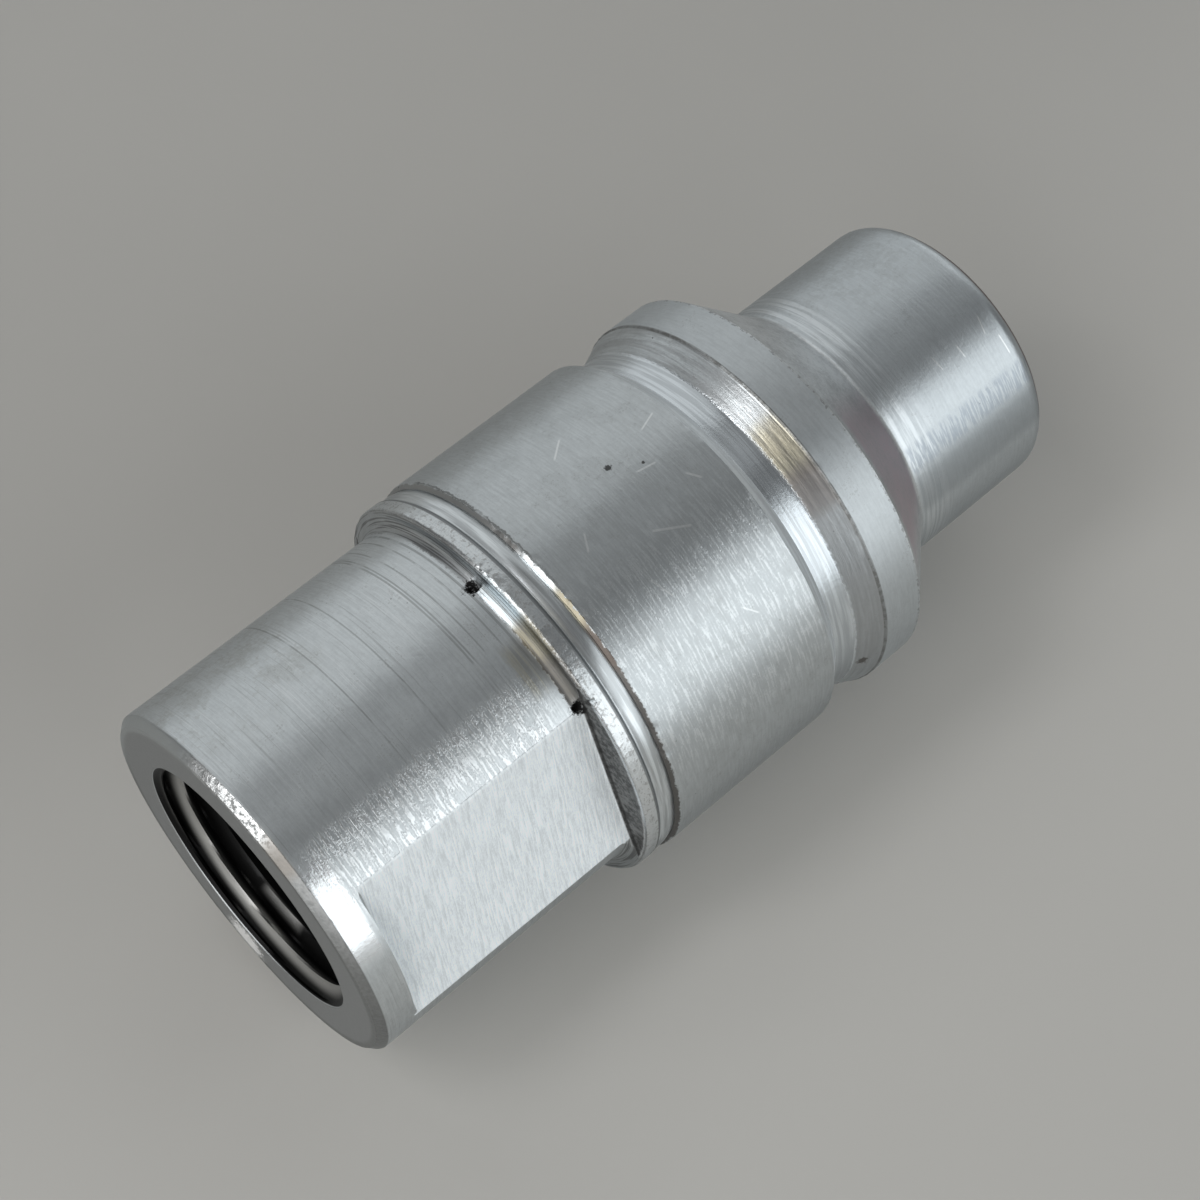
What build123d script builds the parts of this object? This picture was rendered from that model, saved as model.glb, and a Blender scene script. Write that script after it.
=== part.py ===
from build123d import *
import os

# Hydraulic coupler male tip, in millimetres. The tip stands on its port face at height 0 and its
# nose points up along Z. Lengths run along the axis, and heights are measured from the port face.

# Rear adapter, outside
barrel_diameter = 30.3
barrel_length = 23.85
barrel_end_chamfer = 0.6
barrel_end_rounding = 0.4
flats_across = 27.0
flats_start = 3.1
flats_into_collar = 0.15
flats_cutter_corner = 0.5
collar_inset = 0.15
collar_width = 1.65
collar_root_rounding = 1.0
collar_edge_rounding = 0.4
seam_width = 0.45
seam_depth = 0.25
bead_inset = 0.25
bead_width = 1.4
bead_edge = 0.25

# Rear adapter, port and spigot
port_thread_diameter = 21.6
port_thread_depth = 16.0
port_countersink = 0.8
passage_diameter = 17.2
spigot_diameter = 27.0
spigot_thread_length = 6.4
spigot_relief_depth = 0.6
spigot_relief_width = 1.2
spigot_land_inset = 0.6
spigot_end_chamfer = 0.3

# Tip body, outside
body_step = 1.75
body_length = 16.1
body_rear_chamfer = 0.15
body_front_chamfer = 1.2
groove_depth = 1.1
groove_land_length = 2.0
groove_slope_length = 2.4
groove_root_rounding = 0.5
flange_width = 3.6
flange_edge_break = 0.1
cone_length = 5.4
cone_root_rounding = 0.8
nose_diameter = 23.7
nose_length = 14.45
nose_end_rounding = 1.6

# Tip body, inside
nose_bore_diameter = 14.4
nose_bore_length = 6.5
nose_bore_chamfer = 0.7
seat_edge_rounding = 0.15
chamber_diameter = 18.6
socket_end_gap = 0.4
socket_mouth_chamfer = 0.5
guide_bore_inset = 0.95
thread_clearance = 0.06
seal_bore_clearance = 0.05
seal_bore_lead_in = 0.1

# Retaining ring and its groove
retainer_thickness = 1.2
retainer_groove_depth = 0.8
retainer_radial_width = 2.0
retainer_gap_angle = 40.0
retainer_clearance = 0.05
retainer_wall = 1.0

# Valve guide
guide_thickness = 3.0
guide_rim_width = 2.7
guide_web_width = 3.2
guide_windows = 3
guide_hub_clearance = 0.8
guide_hub_length = 5.0
guide_hub_chamfer = 0.5
guide_clearance = 0.1

# Poppet
poppet_head_clearance = 1.0
poppet_head_edge = 1.5
poppet_seat_gap = 0.25
poppet_face_diameter = 10.4
poppet_boss_diameter = 6.4
poppet_boss_height = 0.5
spring_pilot_clearance = 0.4
spring_pilot_length = 1.6
stem_shoulder_diameter = 7.2
stem_diameter = 5.0
stem_clearance = 0.05
stem_tail = 1.5
stem_end_chamfer = 0.4
poppet_travel = 5.0
travel_stop_gap = 0.2

# Poppet seal
valve_seal_section = 1.6
valve_seal_gap = 0.12
valve_seal_land = 0.45
valve_seal_clearance = 0.02

# Valve spring
spring_wire_diameter = 1.4
spring_mean_diameter = 11.8
spring_turns = 6.0

# Joint seal and backup ring, in their gland on the spigot
gland_depth = 2.1
gland_rear_wall = 0.9
gland_front_wall = 1.0
gland_end_play = 0.12
joint_seal_width = 2.2
backup_ring_width = 1.1
gland_clearance = 0.04

# Radii and heights that follow
barrel_radius = barrel_diameter / 2
body_radius = barrel_radius + body_step
collar_radius = body_radius - collar_inset
bead_radius = body_radius - bead_inset
groove_radius = body_radius - groove_depth
nose_radius = nose_diameter / 2
port_radius = port_thread_diameter / 2
passage_radius = passage_diameter / 2
spigot_radius = spigot_diameter / 2
socket_radius = spigot_radius + thread_clearance
land_radius = spigot_radius - spigot_land_inset
seal_bore_radius = land_radius + seal_bore_clearance
gland_radius = seal_bore_radius - gland_depth
guide_bore_radius = seal_bore_radius - guide_bore_inset
chamber_radius = chamber_diameter / 2
nose_bore_radius = nose_bore_diameter / 2
spring_outer_radius = (spring_mean_diameter + spring_wire_diameter) / 2
spring_inner_radius = (spring_mean_diameter - spring_wire_diameter) / 2

collar_front = barrel_length + collar_width
joint_height = collar_front + bead_width
thread_end = joint_height + spigot_thread_length
gland_rear = thread_end + gland_rear_wall
joint_seal_rear = gland_rear + 2 * gland_clearance + backup_ring_width
gland_front = joint_seal_rear + joint_seal_width + gland_end_play
spigot_end = gland_front + gland_front_wall
chamfer_start = joint_height + body_length
groove_start = chamfer_start + body_front_chamfer
groove_end = groove_start + groove_land_length
flange_rear = groove_end + groove_slope_length
flange_front = flange_rear + flange_width
nose_root = flange_front + cone_length
nose_end = nose_root + nose_length

socket_end = spigot_end + socket_end_gap
retainer_rear = socket_end + retainer_wall
guide_rear = retainer_rear + retainer_thickness + 2 * retainer_clearance
guide_front = guide_rear + guide_thickness

# The poppet's cone and its seat are at 45 degrees, where radius plus height stays the same
seat_front = nose_end - nose_bore_length
seat_rear = seat_front + nose_bore_radius - chamber_radius
seat_sum = nose_bore_radius + seat_front
diagonal = 2**0.5
cone_sum = seat_sum - poppet_seat_gap * diagonal
head_radius = chamber_radius - poppet_head_clearance
face_radius = poppet_face_diameter / 2
boss_radius = poppet_boss_diameter / 2
pilot_radius = spring_inner_radius - spring_pilot_clearance
shoulder_radius = stem_shoulder_diameter / 2
stem_radius = stem_diameter / 2
poppet_face = cone_sum - face_radius
cone_rear = cone_sum - head_radius
poppet_back = cone_rear - poppet_head_edge
hub_front = guide_front + guide_hub_length
stem_shoulder = hub_front + poppet_travel + travel_stop_gap
stem_end = guide_rear - stem_tail

valve_seal_radius = valve_seal_section / 2
valve_seal_drop = valve_seal_radius + valve_seal_gap
valve_seal_centre = nose_bore_radius + valve_seal_land - valve_seal_drop / diagonal
valve_seal_height = seat_sum - valve_seal_drop * diagonal - valve_seal_centre


def turned_section(*corners):
    """Half section of a turned piece, from the (radius, height, rounding) of each corner."""
    with BuildSketch(Plane.XZ) as section:
        with BuildLine():
            points = [(radius, height) for radius, height, _ in corners]
            roundings = [rounding for _, _, rounding in corners]
            FilletPolyline(*points, radius=roundings, close=True)
        make_face()
    return section.sketch


os.makedirs("parts", exist_ok=True)

# Rear adapter: port, barrel with two flats, collar, bead and threaded spigot with the seal's gland
with BuildPart() as rear_adapter:
    relief_radius = spigot_radius - spigot_relief_depth
    relief_end = joint_height + spigot_relief_width
    adapter_section = turned_section(
        (port_radius + port_countersink, 0, 0),
        (barrel_radius - barrel_end_chamfer, 0, 0),
        (barrel_radius, barrel_end_chamfer, barrel_end_rounding),
        (barrel_radius, barrel_length, collar_root_rounding),
        (collar_radius, barrel_length, collar_edge_rounding),
        (collar_radius, collar_front - seam_width, 0),
        (collar_radius - seam_depth, collar_front - seam_width / 2, 0),
        (bead_radius - bead_edge / 2, collar_front, 0),
        (bead_radius, collar_front + bead_edge, 0),
        (bead_radius, joint_height - bead_edge, 0),
        (bead_radius - bead_edge, joint_height, 0),
        (relief_radius, joint_height, 0),
        (relief_radius, relief_end, 0),
        (spigot_radius, relief_end + spigot_relief_depth, 0),
        (spigot_radius, thread_end - spigot_relief_depth, 0),
        (land_radius, thread_end, 0),
        (land_radius, gland_rear, 0),
        (gland_radius, gland_rear, 0),
        (gland_radius, gland_front, 0),
        (land_radius, gland_front, 0),
        (land_radius, spigot_end - spigot_end_chamfer, 0),
        (land_radius - spigot_end_chamfer, spigot_end, 0),
        (passage_radius + spigot_end_chamfer, spigot_end, 0),
        (passage_radius, spigot_end - spigot_end_chamfer, 0),
        (passage_radius, port_thread_depth + port_radius - passage_radius, 0),
        (port_radius, port_thread_depth, 0),
        (port_radius, port_countersink, 0),
    )
    revolve(adapter_section, axis=Axis.Z)

    # Each flat is milled straight across, from near the port face to just inside the collar
    flats_end = barrel_length + flats_into_collar
    cut_depth = collar_radius - flats_across / 2
    with BuildSketch(Plane.XZ) as flat_cut:
        with Locations((flats_across / 2 + cut_depth, (flats_start + flats_end) / 2)):
            Rectangle(2 * cut_depth, flats_end - flats_start)
        fillet(flat_cut.vertices().group_by(Axis.X)[0], flats_cutter_corner)
    flat = extrude(amount=collar_radius, both=True, mode=Mode.SUBTRACT)
    mirror(flat, about=Plane.YZ, mode=Mode.SUBTRACT)
rear_adapter.part.label = "rear_adapter"
export_step(rear_adapter.part, "parts/rear_adapter.step")

# Tip body: outside from the joint up to the nose, then back down through the valve chamber
with BuildPart() as tip_body:
    retainer_radius = guide_bore_radius + retainer_groove_depth
    body_section = turned_section(
        (socket_radius + socket_mouth_chamfer, joint_height, 0),
        (body_radius - body_rear_chamfer, joint_height, 0),
        (body_radius, joint_height + body_rear_chamfer, 0),
        (body_radius, chamfer_start, 0),
        (groove_radius, groove_start, 0),
        (groove_radius, groove_end, groove_root_rounding),
        (body_radius - flange_edge_break, flange_rear - flange_edge_break, 0),
        (body_radius, flange_rear, 0),
        (body_radius, flange_front, 0),
        (nose_radius, nose_root, cone_root_rounding),
        (nose_radius, nose_end, nose_end_rounding),
        (nose_bore_radius + nose_bore_chamfer, nose_end, 0),
        (nose_bore_radius, nose_end - nose_bore_chamfer, 0),
        (nose_bore_radius, seat_front, seat_edge_rounding),
        (chamber_radius, seat_rear, 0),
        (chamber_radius, guide_front, 0),
        (guide_bore_radius, guide_front, 0),
        (guide_bore_radius, guide_rear, 0),
        (retainer_radius, guide_rear, 0),
        (retainer_radius, retainer_rear, 0),
        (guide_bore_radius, retainer_rear, 0),
        (guide_bore_radius, socket_end, 0),
        (seal_bore_radius, socket_end, 0),
        (seal_bore_radius, thread_end + seal_bore_lead_in + socket_radius - seal_bore_radius, 0),
        (socket_radius, thread_end + seal_bore_lead_in, 0),
        (socket_radius, joint_height + socket_mouth_chamfer, 0),
    )
    revolve(body_section, axis=Axis.Z)
tip_body.part.label = "tip_body"
export_step(tip_body.part, "parts/tip_body.step")

# Poppet: stem, shoulder that stops its travel, spring pilot, head, cone with the seal's groove
with BuildPart() as poppet:
    poppet_section = turned_section(
        (0, stem_end, 0),
        (stem_radius - stem_end_chamfer, stem_end, 0),
        (stem_radius, stem_end + stem_end_chamfer, 0),
        (stem_radius, stem_shoulder, 0),
        (shoulder_radius, stem_shoulder, 0),
        (shoulder_radius, poppet_back - spring_pilot_length, 0),
        (pilot_radius, poppet_back - spring_pilot_length, 0),
        (pilot_radius, poppet_back, 0),
        (head_radius, poppet_back, 0),
        (head_radius, cone_rear, 0),
        (face_radius, poppet_face, 0),
        (boss_radius, poppet_face, 0),
        (boss_radius, poppet_face + poppet_boss_height, 0),
        (0, poppet_face + poppet_boss_height, 0),
    )
    revolve(poppet_section, axis=Axis.Z)
    with BuildSketch(Plane.XZ):
        with Locations((valve_seal_centre, valve_seal_height)):
            Circle(valve_seal_radius + valve_seal_clearance)
    revolve(axis=Axis.Z, mode=Mode.SUBTRACT)
poppet.part.label = "poppet"
export_step(poppet.part, "parts/poppet.step")

# Poppet seal: a round ring in the cone's groove, a hair clear of the seat
with BuildPart() as poppet_seal:
    with BuildSketch(Plane.XZ):
        with Locations((valve_seal_centre, valve_seal_height)):
            Circle(valve_seal_radius)
    revolve(axis=Axis.Z)
poppet_seal.part.label = "poppet_seal"
export_step(poppet_seal.part, "parts/poppet_seal.step")

# Valve spring: an open coil with both ends ground flat, from the guide to the poppet's back
with BuildPart() as valve_spring:
    spring_length = poppet_back - guide_front
    with BuildLine() as coil:
        Helix(
            pitch=spring_length / spring_turns,
            height=spring_length,
            radius=spring_mean_diameter / 2,
            center=(0, 0, guide_front),
        )
    with BuildSketch(Plane(origin=coil.line @ 0, z_dir=coil.line % 0)):
        Circle(spring_wire_diameter / 2)
    sweep(path=coil.line, is_frenet=True)
    split(bisect_by=Plane.XY.offset(guide_front), keep=Keep.TOP)
    split(bisect_by=Plane.XY.offset(poppet_back), keep=Keep.BOTTOM)
valve_spring.part.label = "valve_spring"
export_step(valve_spring.part, "parts/valve_spring.step")

# Valve guide: a rim, three windows between the webs, and the hub that the stem slides in
with BuildPart() as valve_guide:
    guide_radius = guide_bore_radius - guide_clearance
    with BuildSketch(Plane.XY.offset(guide_rear)):
        Circle(guide_radius)
    extrude(amount=guide_thickness)
    with BuildSketch(Plane.XY.offset(guide_rear)):
        Circle(guide_radius - guide_rim_width)
        Circle(spring_outer_radius, mode=Mode.SUBTRACT)
        with PolarLocations(guide_radius / 2, guide_windows):
            Rectangle(guide_radius, guide_web_width, mode=Mode.SUBTRACT)
    extrude(amount=guide_thickness, mode=Mode.SUBTRACT)
    with BuildSketch(Plane.XY.offset(guide_front)):
        Circle(spring_inner_radius - guide_hub_clearance)
    extrude(amount=guide_hub_length)
    chamfer(valve_guide.faces().sort_by(Axis.Z)[-1].edges(), guide_hub_chamfer)
    with BuildSketch(Plane.XY.offset(guide_rear)):
        Circle(stem_radius + stem_clearance)
    extrude(amount=guide_thickness + guide_hub_length, mode=Mode.SUBTRACT)
valve_guide.part.label = "valve_guide"
export_step(valve_guide.part, "parts/valve_guide.step")

# Retaining ring: sprung into its groove behind the guide, with a gap in its round
with BuildPart() as retaining_ring:
    ring_outer = retainer_radius - retainer_clearance
    ring_middle = retainer_rear + retainer_clearance + retainer_thickness / 2
    with BuildSketch(Plane.XZ):
        with Locations((ring_outer - retainer_radial_width / 2, ring_middle)):
            Rectangle(retainer_radial_width, retainer_thickness)
    revolve(axis=Axis.Z, revolution_arc=360 - retainer_gap_angle)
retaining_ring.part.label = "retaining_ring"
export_step(retaining_ring.part, "parts/retaining_ring.step")

# Joint seal: an O-ring squeezed between the gland and the seal bore, ahead of its backup ring
with BuildPart() as joint_seal:
    gland_middle = (gland_radius + seal_bore_radius) / 2
    with BuildSketch(Plane.XZ):
        with Locations((gland_middle, joint_seal_rear + joint_seal_width / 2)):
            Ellipse(gland_depth / 2 - gland_clearance, joint_seal_width / 2)
    revolve(axis=Axis.Z)
joint_seal.part.label = "joint_seal"
export_step(joint_seal.part, "parts/joint_seal.step")

# Backup ring: a flat ring that keeps the joint seal out of the gap behind it
with BuildPart() as backup_ring:
    with BuildSketch(Plane.XZ):
        with Locations((gland_middle, gland_rear + gland_clearance + backup_ring_width / 2)):
            Rectangle(gland_depth - 2 * gland_clearance, backup_ring_width)
    revolve(axis=Axis.Z)
backup_ring.part.label = "backup_ring"
export_step(backup_ring.part, "parts/backup_ring.step")
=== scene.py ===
"""Looks of the hydraulic coupler male tip: turned and zinc plated steel, handled and scratched.

The part stands on its port face in its own frame, and the camera sees it as if it lay on a table.
Lengths are in millimetres until they become mesh points, heights are measured from the port face,
and angles go round the axis from the outward side of the wrench flat that shows.
"""

import math

import bmesh
import bpy
from mathutils import Matrix, Vector, noise


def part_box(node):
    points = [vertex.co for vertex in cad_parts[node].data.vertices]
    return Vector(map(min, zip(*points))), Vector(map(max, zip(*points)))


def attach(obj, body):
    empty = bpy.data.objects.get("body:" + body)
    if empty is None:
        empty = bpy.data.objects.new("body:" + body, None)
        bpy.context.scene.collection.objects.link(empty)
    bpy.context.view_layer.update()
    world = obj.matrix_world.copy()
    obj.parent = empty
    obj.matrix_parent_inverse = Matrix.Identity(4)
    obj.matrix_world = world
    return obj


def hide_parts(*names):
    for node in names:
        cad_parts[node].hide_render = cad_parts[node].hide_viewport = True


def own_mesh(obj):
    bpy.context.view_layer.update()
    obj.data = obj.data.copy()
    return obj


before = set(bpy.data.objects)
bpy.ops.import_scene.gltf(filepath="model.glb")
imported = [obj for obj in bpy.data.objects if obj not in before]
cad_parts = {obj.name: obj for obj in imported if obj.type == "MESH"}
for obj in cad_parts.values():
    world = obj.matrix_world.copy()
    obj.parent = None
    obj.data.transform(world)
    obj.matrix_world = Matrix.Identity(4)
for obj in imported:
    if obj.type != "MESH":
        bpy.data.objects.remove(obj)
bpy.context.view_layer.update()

MM = 0.001
TURN = 2 * math.pi

# Rear adapter
barrel_radius = 15.15
rim_radius = 14.55
flat_distance = 13.5
flat_rear = 3.1
flat_front = 24.0
cutter_corner = 0.5
collar_root_rear = 23.2
collar_rear = 23.85
collar_front = 25.5
collar_radius = 16.75
bead_radius = 16.65
joint = 26.9
spigot_radius = 12.9
spigot_end = 38.7
passage_radius = 8.6

# Port and its pipe thread
port_radius = 10.8
port_depth = 16.0
countersink = 0.12
thread_pitch = 1.814
thread_height = 1.15
thread_phase = 0.05
thread_end = 15.5
thread_fade = 2.0

# Shares of one turn of the thread: the flat root, and the ridge's two flanks
thread_root = 0.06
thread_flanks = 0.9

# Tip body
body_radius = 16.9
chamfer_rear = 43.0
groove_rear = 44.2
groove_front = 46.2
groove_radius = 15.8
flange_rear = 48.6
flange_front = 52.2
nose_root = 57.6
nose_end = 72.05
nose_radius = 11.85
nose_rounding = 1.6

# Bores of the tip body, from the nose's mouth back to the joint
mouth_radius = 7.2
mouth_chamfer = 0.7
seat_front = 65.55
seat_rear = 63.45
valve_bore = 9.3
guide_shoulder = 44.4
guide_bore = 12.0
seal_bore_end = 39.1
seal_bore = 13.56
seal_lead_in = 0.5

# Surfaces nearer to the axis than this belong to the bores
bores_within = 10.5

# Valve spring
coil_radius = 5.9
wire_radius = 0.7
wire_sides = 20
spring_turns = 6
spring_steps = 360

# Two burred pits beside the collar: angle in degrees, height, reach and depth
collar_pits = ((-71.8, 23.25, 0.5, 0.9), (-28.6, 23.7, 0.5, 1.0))
finest_at_pits = 23.3

# Colours that more than one zone takes
zinc = (0.65, 0.688, 0.71)
burnished = (0.92, 0.95, 0.97)
dull_grey = (0.36, 0.37, 0.38)
pitted = (0.08, 0.08, 0.08)


# Materials

class Socket:
    """One value inside a material. Python's operators on it add Math nodes."""

    def __init__(self, paint, link):
        self.paint = paint
        self.link = link

    def math(self, operation, *others):
        return self.paint.node("ShaderNodeMath", {"operation": operation}, [self, *others])

    def __add__(self, other):
        return self.math("ADD", other)

    def __sub__(self, other):
        return self.math("SUBTRACT", other)

    def __rsub__(self, other):
        return self.paint.node("ShaderNodeMath", {"operation": "SUBTRACT"}, [other, self])

    def __mul__(self, other):
        return self.math("MULTIPLY", other)

    def __truediv__(self, other):
        return self.math("DIVIDE", other)

    def __pow__(self, other):
        return self.math("POWER", other)

    __radd__ = __add__
    __rmul__ = __mul__


class Paint:
    """A material, and the one way in which nodes are added to it."""

    def __init__(self, name):
        self.material = bpy.data.materials.new(name)
        self.material.use_nodes = True
        self.tree = self.material.node_tree
        self.tree.nodes.clear()

    def node(self, kind, settings=None, sockets=(), output=0):
        """Adds a node: its settings first, then the values or links of its sockets."""
        made = self.tree.nodes.new(kind)
        for name, value in (settings or {}).items():
            setattr(made, name, value)
        pairs = sockets.items() if isinstance(sockets, dict) else enumerate(sockets)
        for name, value in pairs:
            if isinstance(value, Socket):
                self.tree.links.new(value.link, made.inputs[name])
            else:
                made.inputs[name].default_value = value
        return Socket(self, made.outputs[output]) if made.outputs else None

    def place(self):
        """x, y and height on the part in millimetres, as the piece lies at rest."""
        point = self.node("ShaderNodeTexCoord", output="Object")
        axes = [self.node("ShaderNodeSeparateXYZ", None, [point], output=i) for i in range(3)]
        return [axis * 1000 for axis in axes]

    def vector(self, x, y, z):
        return self.node("ShaderNodeCombineXYZ", None, [x, y, z])

    def noise(self, vector, scale=1.0, detail=2.0, roughness=0.5):
        sockets = {"Vector": vector, "Scale": scale, "Detail": detail, "Roughness": roughness}
        return self.node("ShaderNodeTexNoise", None, sockets)

    def ramp(self, value, low, high):
        """0 below low, 1 above high, and smooth between them."""
        sockets = {0: value, 1: low, 2: high}
        return self.node("ShaderNodeMapRange", {"interpolation_type": "SMOOTHSTEP"}, sockets)

    def between(self, value, low, high, soft):
        """1 from low to high, falling to 0 over soft on either side."""
        return self.ramp(value, low - soft, low) * (1 - self.ramp(value, high, high + soft))

    def mix(self, factor, first, second):
        """A colour between two colours, each a socket or its red, green and blue."""
        colors = [color if isinstance(color, Socket) else (*color, 1) for color in (first, second)]
        sockets = {0: factor, 6: colors[0], 7: colors[1]}
        return self.node("ShaderNodeMix", {"data_type": "RGBA"}, sockets, output=2)

    def shade(self, value, color, spread):
        """color, made darker or lighter by spread as value goes from 0 to 1."""
        low = [c * (1 - spread) for c in color]
        high = [c * (1 + spread) for c in color]
        return self.mix(value, low, high)


class Plating(Paint):
    """Zinc plate over turned steel: even at first, and then each zone gets its own finish."""

    def __init__(self, name):
        super().__init__(name)
        self.x, self.y, self.z = self.place()
        self.radius = (self.x * self.x + self.y * self.y) ** 0.5
        self.around = self.y.math("ARCTAN2", self.x) * self.radius
        self.point = self.vector(self.x, self.y, self.z)
        self.fine_rings = self.rings(5.0)
        self.broad_rings = self.rings(2.3)
        self.cloud = self.noise(self.point, scale=0.35, detail=4, roughness=0.6)
        self.speck = self.noise(self.point, scale=2.6, detail=3, roughness=0.7)
        self.grain = self.noise(self.point, scale=7.0, detail=2, roughness=0.6)
        self.dashes = self.noise(self.vector(self.around * 0.6, self.z * 5, 0.0), detail=2)
        self.ragged = self.z + (self.speck - 0.5) * 0.6
        self.color = self.shade(self.ramp(self.cloud, 0.25, 0.75), zinc, 0.1)
        self.roughness = 0.29 + self.cloud * 0.1
        self.metallic = 1.0
        self.height = self.fine_rings * 0.3 + self.dashes * 0.5 + self.speck * 0.6

    def rings(self, count):
        """Turning lines, count of them to each millimetre along the axis."""
        stretched = self.vector(self.x * 0.12, self.y * 0.12, self.z * count)
        return self.noise(stretched, detail=3, roughness=0.6)

    def scratches(self, slant, reach, width, rarity):
        """Fine scratches that lie at one slant to the turning lines."""
        along = self.around * math.cos(slant) + self.z * math.sin(slant)
        across = self.z * math.cos(slant) - self.around * math.sin(slant)
        lines = self.noise(self.vector(along * reach, across * width, slant * 10), detail=1)
        return self.ramp(lines, rarity, rarity + 0.05)

    def toward(self, degrees, reach):
        """1 at an angle round the axis, and 0 past reach degrees on either side of it."""
        angle = math.radians(degrees)
        facing = (self.x * math.cos(angle) + self.y * math.sin(angle)) / self.radius
        return self.ramp(facing, math.cos(math.radians(reach)), math.cos(math.radians(reach * 0.4)))

    def mark(self, degrees, height, length, width, slant):
        """A short straight scratch, where slant is 0 along the turning lines."""
        across = self.around - self.radius * math.radians(degrees)
        rise = self.z - height
        cos, sin = math.cos(math.radians(slant)), math.sin(math.radians(slant))
        along = self.between(across * cos + rise * sin, -length / 2, length / 2, 0.3)
        return along * self.between(rise * cos - across * sin, -width / 2, width / 2, width / 2)

    def spot(self, degrees, height, radius, reach):
        """1 inside a ragged round spot on the surface at a radius from the axis."""
        angle = math.radians(degrees)
        centre = (radius * math.cos(angle), radius * math.sin(angle), height)
        apart = {"operation": "DISTANCE"}
        away = self.node("ShaderNodeVectorMath", apart, [self.point, centre], "Value")
        away = away + (self.speck * 0.6 + self.grain * 0.4 - 0.5) * 3 * reach
        return 1 - self.ramp(away, reach * 0.6, reach)

    def zone(self, mask, color=None, roughness=None, metallic=None):
        """Changes the finish where mask is 1."""
        if color is not None:
            self.color = self.mix(mask, self.color, color)
        if roughness is not None:
            self.roughness = self.roughness + mask * (roughness - self.roughness)
        if metallic is not None:
            self.metallic = mask * (metallic - self.metallic) + self.metallic

    def handled(self):
        """Grain, turning lines, scratches, dull blotches and small dark pits from years of handling."""
        grainy = self.ramp(self.grain * 0.6 + self.speck * 0.4, 0.3, 0.7)
        self.zone(1 - grainy, self.mix(0.22, self.color, (0.2, 0.21, 0.21)), 0.36)
        turned = self.ramp(self.dashes * 0.5 + self.fine_rings * 0.2 + self.speck * 0.3, 0.38, 0.62)
        self.color = self.mix(0.45, self.color, self.shade(turned, zinc, 0.18))
        scratches = self.scratches(0.35, 0.5, 11, 0.71) + self.scratches(-1.0, 0.5, 12, 0.71)
        scratches = (scratches * self.ramp(self.cloud, 0.45, 0.6)).math("MINIMUM", 1.0)
        self.zone(scratches * 0.42, (0.88, 0.91, 0.93))
        self.zone(self.ramp(self.speck, 0.6, 0.8) * 0.45, (0.34, 0.35, 0.34), 0.5)
        broken = self.ramp(self.speck * 0.5 + self.grain * 0.5, 0.5, 0.62)
        dirt = self.ramp(self.cloud, 0.5, 0.62) * broken
        self.zone(dirt * 0.5, (0.3, 0.305, 0.3), 0.45)
        cells = self.node("ShaderNodeTexVoronoi", None, {"Vector": self.point, "Scale": 0.8}, "Distance")
        pits = 1 - self.ramp(cells + self.speck * 0.12, 0.07, 0.13)
        self.zone(pits * self.ramp(self.cloud, 0.5, 0.56) * 0.8, pitted, 0.7)

    def done(self, distance=0.00002):
        """The finished material, with a relief that is distance metres deep for each 1 of height."""
        bump = {"Strength": 1.0, "Distance": distance, "Height": self.height}
        relief = self.node("ShaderNodeBump", None, bump)
        surface = self.node("ShaderNodeBsdfPrincipled", None, {
            "Base Color": self.color,
            "Roughness": self.roughness,
            "Metallic": self.metallic,
            "Specular Tint": (0.7, 0.71, 0.72, 1),
            "Normal": relief,
        })
        self.node("ShaderNodeOutputMaterial", None, [surface])
        return self.material


def barrel_marks(paint):
    """A scuffed patch above the flat, a polished one behind it, tool lines before the collar, and a
    painted gold and brown reflection beside its root.
    """
    z = paint.z
    paint.zone(0.25, (0.8, 0.84, 0.86))
    hairs = paint.noise(paint.vector(paint.around * 0.07, 3.0, z * 8), detail=2)
    paint.zone(paint.ramp(hairs, 0.61, 0.67) * 0.35, (0.3, 0.31, 0.31))
    paint.zone((1 - paint.ramp(hairs, 0.33, 0.39)) * 0.35, (0.9, 0.92, 0.94))
    smudge = paint.between(paint.ragged, 1.0, 11.0, 2.5) * paint.toward(-112, 42)
    smudge = smudge * paint.ramp(paint.cloud * 0.6 + paint.speck * 0.4, 0.46, 0.56)
    paint.zone(smudge * 0.32, (0.38, 0.385, 0.365), 0.46)
    scuffs = paint.toward(-33, 15) * paint.between(z, 3, 20, 3)
    scuffs = scuffs * paint.ramp(paint.dashes * 0.7 + paint.grain * 0.3, 0.46, 0.56)
    paint.zone(scuffs * 0.8, burnished, 0.26)
    paint.height = paint.height + scuffs * paint.dashes * 1.2
    polished = paint.toward(-24, 19) * paint.between(paint.ragged, 0.45, flat_rear - 0.6, 0.3)
    paint.zone(polished, (0.96, 0.98, 1.0), 0.2)
    tool_lines = ((19.4, 0.05), (19.65, 0.04), (22.75, 0.07), (21.9, 0.04),
                  (20.6, 0.03), (14.8, 0.03), (11.2, 0.03))
    for height, width in tool_lines:
        line = paint.between(z, height - width, height + width, 0.05) * paint.toward(-95, 65)
        paint.zone(line * paint.ramp(paint.cloud, 0.35, 0.5) * 0.5, (0.24, 0.25, 0.25))
    # Painted reflection: a gold and brown tint at one angle next to the collar's root.
    root_reflection = paint.between(paint.ragged, 21.6, collar_root_rear, 0.5) * paint.toward(-45, 10)
    paint.zone(root_reflection * paint.ramp(paint.fine_rings, 0.44, 0.56) * 0.6, (0.5, 0.46, 0.34))
    paint.zone(root_reflection * (1 - paint.ramp(paint.fine_rings, 0.42, 0.54)) * 0.5, (0.26, 0.25, 0.22))


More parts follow.
